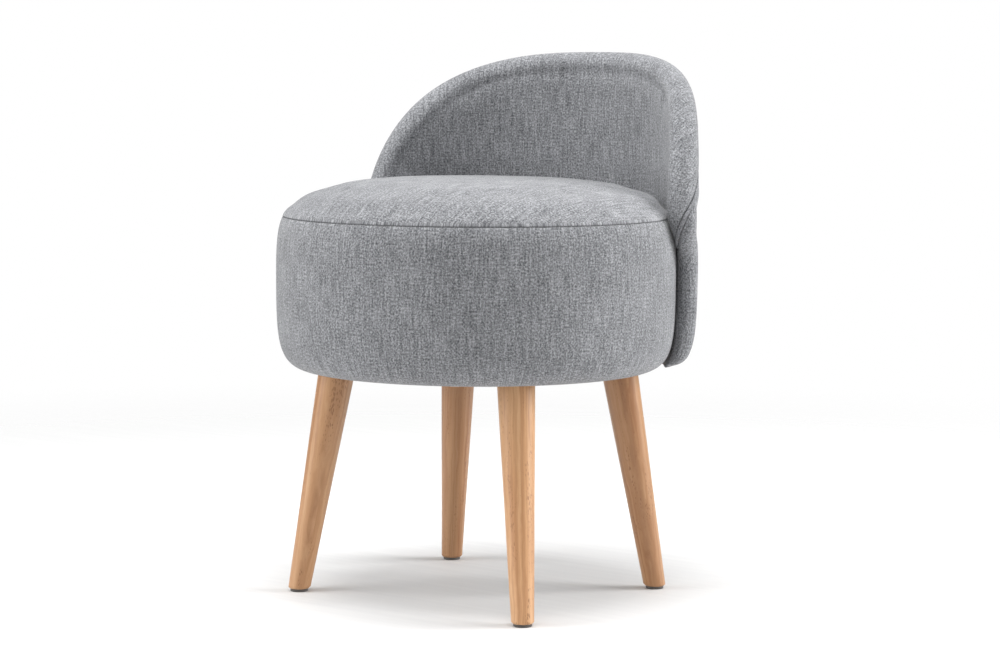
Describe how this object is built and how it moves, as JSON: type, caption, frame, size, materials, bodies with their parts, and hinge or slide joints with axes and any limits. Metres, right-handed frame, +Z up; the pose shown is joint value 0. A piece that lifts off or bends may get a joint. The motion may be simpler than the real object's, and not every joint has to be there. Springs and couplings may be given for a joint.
{
  "type": "upholstered pouf with a low back",
  "caption": "Round upholstered pouf: a crowned drum seat, a low padded back that wraps round its rear as an arch, and splayed tapered wooden legs.",
  "frame": {"origin": "the middle of the whole footprint, on the floor under the glides", "axes": "+Z is up, -Y is the open front of the seat, +Y the back, +X to the right for someone looking from the front along +Y"},
  "size_m": [0.415, 0.4235, 0.549],
  "materials": {
    "plywood": "bare birch plywood",
    "softwood": "planed softwood",
    "hardboard": "bent hardboard",
    "foam": "upholstery foam",
    "grey_cloth": "heathered grey linen-look weave",
    "dark_cloth": "thin non-woven dust cloth",
    "leg_wood": "satin beech",
    "zinc_steel": "zinc plated",
    "glide_plastic": "dark nail-on glide"
  },
  "bodies": {
    "root": {"base_board": "plywood", "seat_board": "plywood", "post_rear_left": "softwood", "post_rear_right": "softwood", "post_side_left": "softwood", "post_side_right": "softwood", "post_front_left": "softwood", "post_front_right": "softwood", "drum_wall": "hardboard", "side_foam": "foam", "seat_foam": "foam", "seat_crown_cover": "grey_cloth", "seat_side_cover": "grey_cloth", "dust_cover": "dark_cloth", "back_plywood": "plywood", "back_inner_foam": "foam", "back_outer_foam": "foam", "back_inner_cover": "grey_cloth", "back_outer_cover": "grey_cloth", "back_welt": "grey_cloth", "front_left_leg": "leg_wood", "front_right_leg": "leg_wood", "rear_left_leg": "leg_wood", "rear_right_leg": "leg_wood", "leg_bolts": "zinc_steel", "leg_threaded_plates": "zinc_steel", "plate_screws": "zinc_steel", "post_screws": "zinc_steel", "back_bolts": "zinc_steel", "back_washers": "zinc_steel", "back_tee_nuts": "zinc_steel", "foot_glides": "glide_plastic"}
  },
  "joints": []
}
